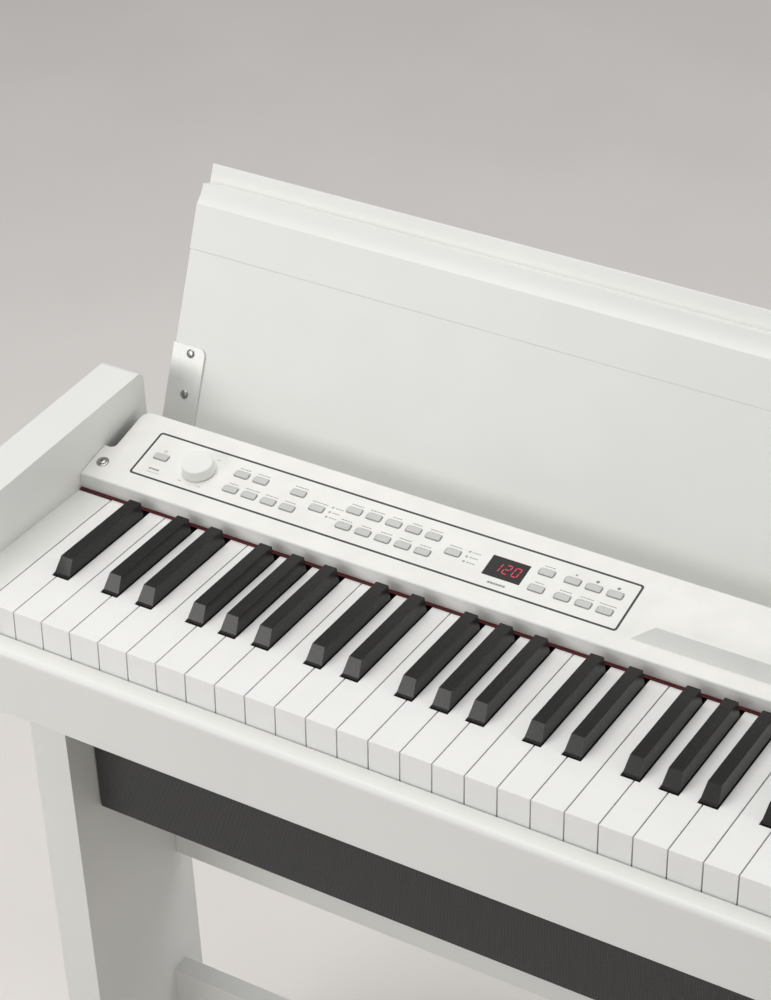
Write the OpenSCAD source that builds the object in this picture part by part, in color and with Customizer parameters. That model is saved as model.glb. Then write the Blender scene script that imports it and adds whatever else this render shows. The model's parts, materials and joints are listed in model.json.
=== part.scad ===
// Slim cabinet digital piano on its own stand: 88 keys, folding key lid, three pedals.
// Drawn in millimetres, +Z up, +X to the player's right, +Y towards the back.

/* [Keyboard] */
// Number of white keys
white_count = 52; // [52:1:52]
// Distance from one white key to the next
pitch = 23.5; // [23:0.1:24]
// Gap between two white keys
key_gap = 1; // [0.6:0.1:1.2]
// How far a white key's front edge goes down
key_dip = 10; // [8:0.5:11]
// Distance from a key's front edge back to its pivot
pivot_length = 208; // [200:1:212]
// Depth of a white key's front lip
lip_height = 25; // [22:1:26]
// Length of the wide head of a white key
head_length = 49; // [47:1:50]
// Width of a black key at its foot
black_foot_w = 12.4; // [11.5:0.1:12.6]
// Width of a black key on top
black_top_w = 9.5; // [9:0.1:10]
// Height of a black key over the white keys
black_height = 11.5; // [10:0.5:12]
// Width of the slot between white keys that a black key stands in
black_slot_w = 14; // [13.6:0.1:14.4]

/* [Cabinet] */
// Height of the white keys' front edge over the floor
key_top_z = 725; // [700:1:740]
// Width of the block beside the keys
cheek_w = 28.7; // [24:0.1:32]
// Thickness of the side panels
side_t = 33.3; // [25:0.1:36]
// Height of the arms over the keys' front edge
arm_rise = 45; // [44.5:0.1:46]
// How far the arms reach in front of the keys
arm_reach = 45; // [35:1:60]
// How far the feet reach in front of the keys
foot_reach = 111; // [100:1:120]
// Thickness of the wooden boards
board_t = 18; // [15:1:20]

/* [Control panel] */
// Slope of the control panel
panel_slope = 11.03; // [10:0.01:12]
// Length of the control panel's slope, front to back
panel_length = 74.2; // [73:0.1:74.4]
// Thickness of the control panel
panel_t = 3; // [2.5:0.1:3.5]
// Length of a button
button_w = 10.6; // [9:0.1:11]
// Width of a button
button_h = 5; // [4:0.1:5.5]
// How far a button travels
button_travel = 0.5; // [0.4:0.1:0.6]
// Radius of the volume knob
knob_r = 12.6; // [11:0.1:13]
// Height of the volume knob
knob_h = 9; // [7:0.5:10]

/* [Lid] */
// Angle between the closed and the open lid
lid_open = 113.4; // [105:0.1:115]
// Length of the lid from its rear edge to its front edge
lid_length = 254.4; // [250:0.1:256]
// Thickness of the front rail's thin lip
lip_t = 4; // [3.6:0.2:5]

/* [Pedals] */
// Distance between two pedals
pedal_pitch = 62; // [55:1:70]
// Width of a pedal's stem
pedal_w = 20; // [16:1:22]
// Angle that a pedal goes down
pedal_angle = 6; // [4:0.5:6]

/* [Hidden] */
$fn = 48;

off_white = [0.93, 0.93, 0.91];
key_white = [0.96, 0.96, 0.95];
key_black = [0.13, 0.13, 0.13];
metal = [0.72, 0.72, 0.73];

// width of the whole keyboard, and the inner and outer faces of the side panels
keys_w = white_count * pitch;
side_in = -cheek_w;
side_out = -cheek_w - side_t;
inner_w = keys_w + 2 * cheek_w;

// keys: at rest they slope down to the back, pressed they are level
key_tilt = asin(key_dip / pivot_length);
pivot_drop = 8;
pivot_y = pivot_length * cos(key_tilt) - pivot_drop * sin(key_tilt);
pivot_z = -pivot_length * sin(key_tilt) - pivot_drop * cos(key_tilt);
pivot_r = 2;
wall_height = 20;
wall_t = 1.6;
skin_t = 2.5;
tail_start = 190;
tail_inset = 2.5;
key_end = pivot_length + 6;
black_start = 50;
black_end = 141;
black_under = 14;
slope_run = 6.5;
foot_rise = 1.2;
// where each black key stands beside the joint of its two white keys: C D E F G A B
black_shift = [-2.5, 2.5, undef, -3.1, 0, 3.1, undef];
first_letter = 5;

// heights of the boards, from the keys' front edge
bed_bottom = -78;
bed_top = bed_bottom + board_t;
bed_front = -2;
back_in = 216;
back_out = 226;
case_back = 236;

// control panel
panel_y = 150.4;
panel_z = 5.9;
panel_skirt = -6.5;
panel_back_y = panel_y + panel_length * cos(panel_slope);
notch_x = -20;
notch_start = 32;
notch_r = 4;
corner_r = 8;
outline_x = [4.5, 398.6];
outline_s = [14.5, 59.2];
outline_w = 1.3;
inlay_depth = 0.4;
display_x = [290.2, 319.3];
display_s = [26.4, 45.2];
window_depth = 1.4;
knob_at = [52.7, 35.9];
screw_at = [-19.2, 16];
row_high = 43.9;
row_mid = 35.8;
row_low = 28;
column = 16;
led_gap = 4.8;
button_r = 0.9;
button_proud = 0.7;
button_fit = 0.8;
cap_depth = 4.2;
flange_h = 0.8;
switch_h = 1.6;
board_depth = cap_depth + flange_h + button_travel + switch_h + 0.9;

// lid, measured from its hinge: it lies over the hinge when closed
hinge_y = 204;
hinge_z = -15;
lid_under = 42;
lid_top = lid_under + board_t;
lid_behind = 32.4;
lid_seam = 158.6;
cove_start = 192.6;
cove_end = 207.6;
cove_depth = 4.5;
lid_ahead = lid_length - lid_behind;
lid_edge_r = 2;
lid_gap = 1.7;
hinge_r = 3;
bracket_t = 1.5;
flange_t = 2.4;
flange_x = -27.6;

// floor level, feet and legs
floor_z = -key_top_z;
glide_h = 8;
foot_top = floor_z + 60;
leg_front = 96;
arm_bottom = -92;

// speaker box and grille
grille_y = 126.5;
grille_t = 3.5;
box_bottom = -300;
box_wall = 12;
driver_at = [190, keys_w - 190];

// pedals
pedal_pivot = [150, floor_z + 47];
pedal_box_x = [keys_w / 2 - 115, keys_w / 2 + 115];
pedal_box_y = [70, 196];
pedal_box_z = [floor_z + 6, floor_z + 85];
pedal_t = 6;
pedal_shaft_r = 4;
toe_r = 13;

// bounding box of the whole object, from which its own frame takes its middle
lid_back = hinge_y - (lid_ahead - lid_edge_r) * cos(lid_open)
         + (lid_top - lid_edge_r) * sin(lid_open) + lid_edge_r;
y_mid = (lid_back - foot_reach) / 2;

// --- frames of reference ---------------------------------------------------

// from the keys' front left corner to the object's own frame
module from_keys() {
    translate([-keys_w / 2, -y_mid, key_top_z]) children();
}

// the same piece at the left and at the right end
module both_ends() {
    children();
    translate([keys_w, 0, 0]) mirror([1, 0, 0]) children();
}

// along the sloping control panel: x, distance up the slope, height over it
module on_panel(x = 0, s = 0, h = 0) {
    translate([0, panel_y, panel_z]) rotate([panel_slope, 0, 0]) translate([x, s, h]) children();
}

// at the lid's hinge, turned with the open lid
module on_lid() {
    translate([0, hinge_y, hinge_z]) rotate([-lid_open, 0, 0]) children();
}

// along the keys' tops at rest
module on_keys() {
    rotate([-key_tilt, 0, 0]) children();
}

// --- plain shapes ----------------------------------------------------------

// a block from its low corner to its high corner
module block(low, high) {
    translate(low) cube(high - low);
}

// an outline in Y and Z drawn out along X
module along_x(x0, x1) {
    translate([x0, 0, 0]) rotate([90, 0, 90]) linear_extrude(x1 - x0) children();
}

// a round bar along X
module bar_x(x0, x1, y, z, r) {
    translate([x0, y, z]) rotate([0, 90, 0]) cylinder(h = x1 - x0, r = r);
}

// a rectangle with round corners, between two corners
module round_rect(low, high, r) {
    translate([low[0] + r, low[1]]) square([high[0] - low[0] - 2 * r, high[1] - low[1]]);
    translate([low[0], low[1] + r]) square([high[0] - low[0], high[1] - low[1] - 2 * r]);
    for (x = [low[0] + r, high[0] - r], y = [low[1] + r, high[1] - r]) {
        translate([x, y]) circle(r);
    }
}

// a round-cornered rectangle about its own middle
module pill(w, h, r) {
    round_rect([-w / 2, -h / 2], [w / 2, h / 2], r);
}

// a countersunk cross-head screw, its head's top at the origin, pointing down
module cross_screw(head_r, shank_r, length) {
    difference() {
        union() {
            translate([0, 0, -1.2]) cylinder(h = 1.2, r = head_r);
            translate([0, 0, -length]) cylinder(h = length - 1, r = shank_r);
        }
        for (turn = [0, 90]) {
            rotate([0, 0, turn]) block([-0.6 * head_r, -0.35, -0.8], [0.6 * head_r, 0.35, 1]);
        }
    }
}

// --- cabinet ---------------------------------------------------------------

// bolts that hold the cabinet together: distance back, height
bolt_places = [[172, -110], [172, -260], [205, -560], [205, -620]];
bolt_r = 3;
bolt_head_r = 7;
bolt_end = -18;

module bolt_holes(clear = 0.05) {
    for (at = bolt_places) {
        bar_x(side_out - 1, bolt_end, at[0], at[1], bolt_r + clear);
    }
}

module side_outline() {
    corner = 7;
    fillet = 24;
    round_rect([-arm_reach, arm_bottom], [case_back, arm_rise], corner);
    translate([leg_front, foot_top]) square([case_back - leg_front, arm_rise - foot_top - 40]);
    difference() {
        translate([leg_front - fillet, arm_bottom - fillet]) square([fillet + 1, fillet + 1]);
        translate([leg_front - fillet, arm_bottom - fillet]) circle(fillet);
    }
}

module side_panel() {
    difference() {
        along_x(side_out, side_in) side_outline();
        bolt_holes();
        for (at = bolt_places) {
            bar_x(side_out - 1, side_out + 3.2, at[0], at[1], bolt_head_r + 0.5);
        }
        bar_x(-42, side_in + 1, hinge_y, hinge_z, hinge_r + 0.05);
    }
}

module left_side_panel() {
    color(off_white) from_keys() side_panel();
}

module right_side_panel() {
    color(off_white) from_keys() translate([keys_w, 0, 0]) mirror([1, 0, 0]) side_panel();
}

// each foot has one socket at the front and one at the back for its glides
glide_y = [-foot_reach + 26, case_back - 26];
glide_r = 12;
glide_stem_r = 4;

module foot() {
    nose = 22;
    low = floor_z + glide_h;
    difference() {
        along_x(side_out, side_in) {
            translate([-foot_reach, low]) square([case_back + foot_reach, foot_top - low - nose]);
            translate([nose - foot_reach, low]) square([case_back + foot_reach - nose, foot_top - low]);
            translate([nose - foot_reach, foot_top - nose]) circle(nose);
        }
        for (y = glide_y) {
            translate([(side_in + side_out) / 2, y, low - 1]) cylinder(h = 25, r = glide_stem_r + 0.02);
        }
    }
}

module left_foot() {
    color(off_white) from_keys() foot();
}

module right_foot() {
    color(off_white) from_keys() translate([keys_w, 0, 0]) mirror([1, 0, 0]) foot();
}

module foot_glides() {
    color([0.2, 0.2, 0.2]) from_keys() both_ends() for (y = glide_y) {
        translate([(side_in + side_out) / 2, y, floor_z]) {
            cylinder(h = glide_h, r = glide_r);
            cylinder(h = glide_h + 20, r = glide_stem_r);
        }
    }
}

module keybed() {
    color([0.8, 0.78, 0.72]) from_keys()
        block([side_in, bed_front, bed_bottom], [keys_w + cheek_w, back_in, bed_top]);
}

module key_slip() {
    front = -18;
    top = -22;
    nose = 5;
    color(off_white) from_keys() along_x(side_in, keys_w + cheek_w) {
        translate([front, bed_bottom]) square([bed_front - front, top - nose - bed_bottom]);
        translate([front + nose, bed_bottom]) square([bed_front - front - nose, top - bed_bottom]);
        translate([front + nose, top - nose]) circle(nose);
    }
}

// the blocks beside the keys; the control panel's end screws go into their backs
cheek_back = 147;
cheek_shelf_back = 186;

module cheek_blocks() {
    shelf_z = -11;
    color(off_white) from_keys() both_ends() difference() {
        union() {
            difference() {
                block([side_in, 0, bed_top], [-key_gap / 2, cheek_back, 10]);
                on_keys() block([side_in - 1, -20, 0], [10, cheek_back + 20, 40]);
            }
            block([side_in, cheek_back, bed_top], [-6, cheek_shelf_back, shelf_z]);
        }
        on_panel(screw_at[0], screw_at[1]) translate([0, 0, -30]) cylinder(h = 31, r = 1.92);
    }
}

module back_panel() {
    top = 11.5;
    bottom = -420;
    hinge_room = 7;
    color(off_white) from_keys() difference() {
        block([side_in, back_in, bottom], [keys_w + cheek_w, back_out, top]);
        both_ends() block([side_in - 1, back_in - 1, -45], [side_in + hinge_room, back_out + 1, top + 1]);
    }
}

// the lower rail between the legs, which carries the pedal box
rail_front = 196;
rail_z = [-650, -540];

module cross_rail() {
    color(off_white) from_keys() difference() {
        block([side_in, rail_front, rail_z[0]], [keys_w + cheek_w, rail_front + board_t, rail_z[1]]);
        both_ends() bolt_holes();
    }
}

module assembly_bolts() {
    color(metal) from_keys() both_ends() for (at = bolt_places) {
        difference() {
            union() {
                bar_x(side_out + 0.4, side_out + 3.2, at[0], at[1], bolt_head_r);
                bar_x(side_out + 0.4, bolt_end, at[0], at[1], bolt_r);
            }
            translate([side_out - 1, at[0], at[1]]) rotate([0, 90, 0]) cylinder(h = 3.4, r = 3.4, $fn = 6);
        }
    }
}

// --- sound -----------------------------------------------------------------

driver_z = (bed_bottom + box_bottom) / 2;

module speaker_box() {
    front = grille_y + grille_t;
    color([0.12, 0.12, 0.12]) from_keys() difference() {
        block([side_in, front, box_bottom], [keys_w + cheek_w, back_in, bed_bottom]);
        block([side_in + box_wall, front + box_wall, box_bottom + box_wall],
              [keys_w - side_in - box_wall, back_in - box_wall, bed_bottom - box_wall]);
        for (x = driver_at) {
            translate([x, front - 1, driver_z]) rotate([-90, 0, 0]) cylinder(h = box_wall + 2, r = 47);
        }
        both_ends() bolt_holes();
    }
}

module speaker_grille() {
    color([0.06, 0.06, 0.06]) from_keys()
        block([side_in + 1, grille_y, box_bottom + 2], [keys_w + cheek_w - 1, grille_y + grille_t, bed_bottom - 2]);
}

// each driver: ring, cone, dust cap and magnet, turned about Y
module speaker_drivers() {
    y = grille_y + grille_t + box_wall;
    color([0.25, 0.25, 0.25]) from_keys() for (x = driver_at) {
        translate([x, y, driver_z]) rotate([-90, 0, 0]) rotate_extrude() polygon([
            [0, 20], [14, 20], [44, 0], [56, 0], [56, 3], [47, 3], [26, 26], [26, 34], [36, 34], [36, 50], [0, 50]
        ]);
    }
}

// sockets under the left end of the keybed: two headphone sockets and the power inlet
jack_r = 3.25;
jack_depth = 32;
jack_front = 30;
jack_x = [6, 32];
jack_z = bed_bottom - 12;

module jack_box() {
    color([0.15, 0.15, 0.15]) from_keys() difference() {
        block([-12, jack_front, bed_bottom - 24], [72, 76, bed_bottom]);
        for (x = jack_x) {
            translate([x, jack_front - 1, jack_z]) rotate([-90, 0, 0]) cylinder(h = jack_depth + 1, r = jack_r);
        }
        translate([58, jack_front - 1, jack_z]) rotate([-90, 0, 0]) difference() {
            cylinder(h = 11, r = 2.9);
            translate([0, 0, 3]) cylinder(h = 9, r = 0.95);
        }
    }
}

// --- control panel ---------------------------------------------------------

// every button: x along the panel, distance up the slope
power_places = [[19.1, 36.7]];
function_places = concat(
    [for (n = [0, 1]) [84.6 + n * column, row_high]],
    [for (n = [0:3]) [84.5 + n * column, row_low]]
);
mode_places = [[132.6, row_high], [152.5, row_mid], [263, row_mid]];
sound_places = [for (s = [row_high, row_low], n = [0:4]) [179.1 + n * column, s]];
value_places = [for (s = [row_high, row_low]) [331.8, s]];
transport_places = [for (s = [row_high, row_low], n = [0:2]) [351.6 + n * column, s]];
all_places = concat(power_places, function_places, mode_places, sound_places, value_places, transport_places);
led_places = [for (x = [163, 273.6], n = [-1:1]) [x, row_mid + 0.4 + n * led_gap]];
led_r = 0.9;

module end_notch() {
    reach = 10;
    translate([notch_x - reach, notch_start]) square([reach - notch_r, panel_length]);
    translate([notch_x - reach, notch_start + notch_r]) square([reach, panel_length]);
    translate([notch_x - notch_r, notch_start + notch_r]) circle(notch_r);
    difference() {
        translate([notch_x - 1, panel_length - corner_r]) square([corner_r + 1, corner_r + 1]);
        translate([notch_x + corner_r, panel_length - corner_r]) circle(corner_r);
    }
}

module outline_ring() {
    low = [outline_x[0], outline_s[0]];
    high = [outline_x[1], outline_s[1]];
    edge = [outline_w, outline_w];
    difference() {
        round_rect(low, high, 2.6);
        round_rect(low + edge, high - edge, 1.3);
    }
}

// the raised stop that holds sheet music: front edge, top edge and rear edge up the slope, and its height
stop_s = [12.7, 19, 27.3];
stop_end = [409.7, 426.6, 412.2];
stop_height = 12;

module music_stop() {
    sink = -1;
    ends = [stop_end, [for (x = stop_end) keys_w - x]];
    polyhedron(
        points = [
            for (e = ends) each [
                [e[0], stop_s[0], sink], [e[2], stop_s[2], sink],
                [e[0], stop_s[0], 0], [e[1], stop_s[1], stop_height], [e[2], stop_s[2], 0]
            ]
        ],
        faces = [
            [0, 1, 4, 2], [2, 4, 3], [5, 7, 9, 6], [7, 8, 9],
            [0, 5, 6, 1], [0, 2, 7, 5], [2, 3, 8, 7], [3, 4, 9, 8], [4, 1, 6, 9]
        ]
    );
}

module control_panel() {
    color(off_white) from_keys() difference() {
        union() {
            on_panel(0, 0, -panel_t) linear_extrude(panel_t) difference() {
                translate([side_in, 0]) square([inner_w, panel_length]);
                end_notch();
                translate([keys_w, 0]) mirror([1, 0]) end_notch();
            }
            block([side_in, panel_y, panel_skirt], [keys_w + cheek_w, panel_y + panel_t, panel_z]);
            block([-10, panel_back_y - panel_t, 12], [keys_w + 10, panel_back_y, 17]);
            on_panel() music_stop();
        }
        on_panel() {
            for (at = all_places) {
                translate([at[0], at[1], -panel_t - 1]) linear_extrude(panel_t + 2)
                    pill(button_w + button_fit, button_h + button_fit, button_r + button_fit / 2);
            }
            for (at = led_places) {
                translate([at[0], at[1], -panel_t - 1]) cylinder(h = panel_t + 2, r = led_r + 0.05);
            }
            translate([knob_at[0], knob_at[1], -panel_t - 1]) cylinder(h = panel_t + 2, r = 3.8);
            translate([0, 0, -inlay_depth]) linear_extrude(1) outline_ring();
            block([display_x[0], display_s[0], -window_depth], [display_x[1], display_s[1], 1]);
            for (x = [screw_at[0], keys_w - screw_at[0]]) {
                translate([x, screw_at[1], -panel_t - 1]) cylinder(h = panel_t + 2, r = 2.1);
            }
        }
    }
}

module panel_outline() {
    color([0.25, 0.25, 0.26]) from_keys() on_panel(0, 0, -inlay_depth) linear_extrude(inlay_depth) outline_ring();
}

module display_window() {
    color([0.08, 0.03, 0.03]) from_keys() on_panel()
        block([display_x[0], display_s[0], -window_depth], [display_x[1], display_s[1], 0]);
}

module led_lenses() {
    color([0.75, 0.75, 0.75]) from_keys() on_panel() for (at = led_places) {
        translate([at[0], at[1], -6]) cylinder(h = 6.2, r = led_r);
    }
}

module key_felt() {
    felt_reach = 2.8;
    felt_low = panel_skirt - 0.45;
    color([0.4, 0.05, 0.08]) from_keys()
        block([side_in, panel_y - felt_reach, felt_low], [keys_w + cheek_w, panel_y + panel_t, panel_skirt]);
}

washer_r = 4.8;
washer_t = 0.9;

module panel_washers() {
    color(metal) from_keys() both_ends() on_panel(screw_at[0], screw_at[1]) difference() {
        cylinder(h = washer_t, r = washer_r);
        translate([0, 0, -1]) cylinder(h = 3, r = 2.1);
    }
}

module panel_screws() {
    color(metal) from_keys() both_ends() on_panel(screw_at[0], screw_at[1], washer_t + 1.2)
        cross_screw(3.2, 1.9, 22);
}

// one group of buttons: caps with a flange under the panel
module buttons(places) {
    for (at = places) {
        on_panel(at[0], at[1]) {
            translate([0, 0, -cap_depth]) linear_extrude(cap_depth + button_proud) pill(button_w, button_h, button_r);
            translate([0, 0, -cap_depth - flange_h]) linear_extrude(flange_h)
                pill(button_w + 2, button_h + 2, button_r);
        }
    }
}

button_grey = [0.84, 0.84, 0.83];

module power_button() {
    color(button_grey) from_keys() buttons(power_places);
}

module function_buttons() {
    color(button_grey) from_keys() buttons(function_places);
}

module mode_buttons() {
    color(button_grey) from_keys() buttons(mode_places);
}

module sound_buttons() {
    color(button_grey) from_keys() buttons(sound_places);
}

module value_buttons() {
    color(button_grey) from_keys() buttons(value_places);
}

module transport_buttons() {
    color(button_grey) from_keys() buttons(transport_places);
}

shaft_r = 3;
pot_top = -4.2;

module volume_knob() {
    color(off_white) from_keys() on_panel(knob_at[0], knob_at[1]) difference() {
        translate([0, 0, 0.5]) rotate_extrude() {
            square([knob_r - 1.2, knob_h - 0.5]);
            square([knob_r, knob_h - 1.7]);
            translate([knob_r - 1.2, knob_h - 1.7]) circle(1.2);
        }
        translate([0, 0, -1]) cylinder(h = 7.5, r = shaft_r + 0.02);
    }
}

module volume_shaft() {
    color(metal) from_keys() on_panel(knob_at[0], knob_at[1], -7.5) cylinder(h = 13.8, r = shaft_r);
}

module volume_pot() {
    color([0.3, 0.3, 0.32]) from_keys() on_panel(knob_at[0], knob_at[1]) difference() {
        translate([0, 0, -board_depth]) linear_extrude(board_depth + pot_top) square(12, center = true);
        translate([0, 0, -7.6]) cylinder(h = 6, r = shaft_r + 0.06);
    }
}

// the board under the panel, with one switch under each button
module panel_board() {
    laminate_t = 1.6;
    color([0.1, 0.4, 0.2]) from_keys() on_panel(0, 0, -board_depth) {
        difference() {
            block([6, 18, -laminate_t], [392, 56, 0]);
            for (at = led_places) {
                translate([at[0], at[1], -5]) cylinder(h = 10, r = 0.4);
            }
        }
        for (at = all_places) {
            translate([at[0] - 3, at[1] - 2, 0]) cube([6, 4, switch_h]);
        }
    }
}

// --- keyboard --------------------------------------------------------------

function letter(i) = (i + first_letter) % 7;
function joint_black(i) = i > 0 && i < white_count ? black_shift[letter(i - 1)] : undef;
function black_x(i) = i * pitch + joint_black(i);

module white_key(i) {
    left = i * pitch + key_gap / 2;
    right = (i + 1) * pitch - key_gap / 2;
    tail_left = is_undef(joint_black(i)) ? left : black_x(i) + black_slot_w / 2;
    tail_right = is_undef(joint_black(i + 1)) ? right : black_x(i + 1) - black_slot_w / 2;
    difference() {
        union() {
            block([left, 0, -wall_height], [right, head_length, 0]);
            block([left, 0, -lip_height], [right, 3, -1]);
            block([tail_left, 1, -wall_height], [tail_right, tail_start, 0]);
            block([tail_left + tail_inset, 1, -2 * pivot_drop + 2], [tail_right - tail_inset, key_end, -2]);
        }
        block([left + wall_t, 3, -lip_height - 1], [right - wall_t, head_length - wall_t, -skin_t]);
        block([tail_left + wall_t, 30, -lip_height - 1], [tail_right - wall_t, tail_start - wall_t, -skin_t]);
        bar_x(tail_left - 1, tail_right + 1, pivot_length, -pivot_drop, pivot_r + 0.06);
    }
}

module black_key(i) {
    half_foot = black_foot_w / 2;
    half_top = black_top_w / 2;
    translate([black_x(i), 0, 0]) difference() {
        union() {
            intersection() {
                along_x(-half_foot, half_foot) polygon([
                    [black_start, -black_under], [black_start, foot_rise],
                    [black_start + 2, foot_rise], [black_start + 2 + slope_run, black_height],
                    [black_end, black_height], [black_end, -black_under]
                ]);
                translate([0, black_end, 0]) rotate([90, 0, 0]) linear_extrude(black_end - black_start) polygon([
                    [-half_foot, -black_under], [half_foot, -black_under], [half_foot, foot_rise],
                    [half_top, black_height], [-half_top, black_height], [-half_foot, foot_rise]
                ]);
            }
            block([-5, black_end - 1, -black_under], [5, tail_start, -4]);
            block([-4, tail_start - 1, -black_under], [4, key_end, -4]);
        }
        block([-half_foot + wall_t, black_start + 3, -black_under - 1], [half_foot - wall_t, black_end - 3, -3]);
        bar_x(-10, 10, pivot_length, -pivot_drop, pivot_r + 0.06);
    }
}

// all white keys of one letter, C = 0 to B = 6
module white_keys(which) {
    color(key_white) from_keys() on_keys() for (i = [0:white_count - 1]) {
        if (letter(i) == which) white_key(i);
    }
}

// all black keys to the right of one letter
module black_keys(which) {
    color(key_black) from_keys() on_keys() for (i = [1:white_count - 1]) {
        if (letter(i - 1) == which && !is_undef(joint_black(i))) black_key(i);
    }
}

module keys_c() { white_keys(0); }
module keys_c_sharp() { black_keys(0); }
module keys_d() { white_keys(1); }
module keys_d_sharp() { black_keys(1); }
module keys_e() { white_keys(2); }
module keys_f() { white_keys(3); }
module keys_f_sharp() { black_keys(3); }
module keys_g() { white_keys(4); }
module keys_g_sharp() { black_keys(4); }
module keys_a() { white_keys(5); }
module keys_a_sharp() { black_keys(5); }
module keys_b() { white_keys(6); }

// the chassis under the keys: floor, two stop rails, a shelf for the sensors, ears for the pivot rod
frame_floor_t = 3;
stop_z = -30.3;
felt_t = 4;
rail_y = [[28, 46], [58, 76]];
sensor_y = [98, 134];
sensor_z = -42;
frame_y = [8, 215];
ear_t = 4;
ear_r = 6;
ear_out = 5;
ear_places = [for (i = [1:white_count - 1]) if (is_undef(joint_black(i))) i * pitch];

module key_frame() {
    low = bed_top;
    color([0.2, 0.2, 0.22]) from_keys() difference() {
        union() {
            block([0, frame_y[0], low], [keys_w, frame_y[1], low + frame_floor_t]);
            block([-ear_out, cheek_back, low], [keys_w + ear_out, frame_y[1], low + frame_floor_t]);
            for (r = rail_y) {
                block([0, r[0], low], [keys_w, r[1], stop_z - felt_t]);
            }
            block([0, sensor_y[0], low], [keys_w, sensor_y[1], sensor_z]);
            for (x = ear_places) {
                block([x - ear_t / 2, pivot_y - ear_r, low], [x + ear_t / 2, pivot_y + ear_r, pivot_z + ear_r]);
            }
            for (x = [-ear_out, keys_w + ear_out - ear_t]) {
                block([x, pivot_y - ear_r, low], [x + ear_t, pivot_y + ear_r, pivot_z + ear_r]);
            }
        }
        bar_x(-ear_out - 1, keys_w + ear_out + 1, pivot_y, pivot_z, pivot_r + 0.02);
    }
}

module key_pivot_rod() {
    color(metal) from_keys() bar_x(-ear_out, keys_w + ear_out, pivot_y, pivot_z, pivot_r);
}

module stop_felts() {
    color([0.55, 0.55, 0.5]) from_keys() for (r = rail_y) {
        block([0, r[0], stop_z - felt_t], [keys_w, r[1], stop_z]);
    }
}

module sensor_strip() {
    dome_r = 3.4;
    dome_h = 8;
    base_h = 2.4;
    step = keys_w / 88;
    color([0.12, 0.3, 0.18]) from_keys() {
        block([0, sensor_y[0] + 2, sensor_z], [keys_w, sensor_y[1] - 2, sensor_z + base_h]);
        for (n = [0:87]) {
            translate([(n + 0.5) * step, (sensor_y[0] + sensor_y[1]) / 2, sensor_z + base_h - 0.1])
                cylinder(h = dome_h + 0.1, r = dome_r, $fn = 24);
        }
    }
}

module main_board() {
    z = bed_top + frame_floor_t;
    color([0.1, 0.4, 0.2]) from_keys() translate([300, 140, z]) {
        for (x = [4, 236], y = [4, 46]) {
            translate([x, y, 0]) cylinder(h = 6, r = 3);
        }
        block([0, 0, 6], [240, 50, 7.6]);
        block([30, 12, 7.5], [56, 38, 9.8]);
        block([90, 8, 7.5], [120, 42, 16]);
        for (x = [150, 166, 182]) {
            translate([x, 25, 7.5]) cylinder(h = 12, r = 5);
        }
    }
}

// --- lid -------------------------------------------------------------------
// drawn closed, from its hinge: the front is towards -Y and its top is up

module lid_span(extra = 0) {
    along_x(side_in + lid_gap - extra, keys_w + cheek_w - lid_gap + extra) children();
}

module lid_panel() {
    color(off_white) from_keys() on_lid() lid_span() {
        translate([-lid_seam, lid_under]) square([lid_seam + lid_behind - lid_edge_r, board_t]);
        round_rect([0, lid_under], [lid_behind, lid_top], lid_edge_r);
    }
}

// the front rail: a shallow cove, then a deep step up to the thin lip that lifts the lid
module lid_front_rail() {
    front = -lid_ahead;
    cove_r = ((cove_end - cove_start) ^ 2 + cove_depth ^ 2) / (2 * cove_depth);
    lip_length = lid_ahead - cove_end + 1;
    color(off_white) from_keys() on_lid() lid_span(0.7) {
        difference() {
            translate([-cove_end, lid_under]) square([cove_end - lid_seam, board_t]);
            translate([-cove_end, lid_under + cove_depth - cove_r]) circle(cove_r);
        }
        translate([front, lid_top - lip_t]) square([lip_length, lip_t - lid_edge_r]);
        translate([front + lid_edge_r, lid_top - lip_t]) square([lip_length - lid_edge_r, lip_t]);
        translate([front + lid_edge_r, lid_top - lid_edge_r]) circle(lid_edge_r);
    }
}

bracket_top = 87.6;
bracket_screws = [81.6, 50.1];
bracket_screw_x = -11.4;

module lid_brackets() {
    corner = 6;
    plate_right = 1;
    color([0.8, 0.8, 0.79]) from_keys() both_ends() on_lid() difference() {
        union() {
            translate([0, 0, lid_under - bracket_t]) linear_extrude(bracket_t) {
                translate([flange_x, -bracket_top + corner]) square([plate_right - flange_x, bracket_top - corner + 18]);
                translate([flange_x, -bracket_top]) square([plate_right - corner - flange_x, corner + 1]);
                translate([plate_right - corner, corner - bracket_top]) circle(corner);
            }
            along_x(flange_x, flange_x + flange_t) {
                translate([-9, 0]) square([18, lid_under - bracket_t + 0.5]);
                circle(9);
            }
        }
        bar_x(flange_x - 1, flange_x + flange_t + 1, 0, 0, hinge_r + 0.02);
        for (a = bracket_screws) {
            translate([bracket_screw_x, -a, lid_under - 5]) cylinder(h = 10, r = 2.02);
        }
    }
}

// screws that hold the brackets to the lid board, heads on the bracket
module bracket_screw_set(head_r, shank_r, length) {
    for (a = bracket_screws) {
        translate([bracket_screw_x, -a, lid_under - bracket_t - 1.2]) mirror([0, 0, 1])
            cross_screw(head_r, shank_r, length);
    }
}

module lid_bracket_screws() {
    color(metal) from_keys() both_ends() on_lid() bracket_screw_set(3.4, 1.9, 2.6);
}

module lid_hinge_pins() {
    color(metal) from_keys() both_ends() on_lid() bar_x(-41, flange_x + flange_t + 1, 0, 0, hinge_r);
}

// --- pedals ----------------------------------------------------------------

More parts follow.
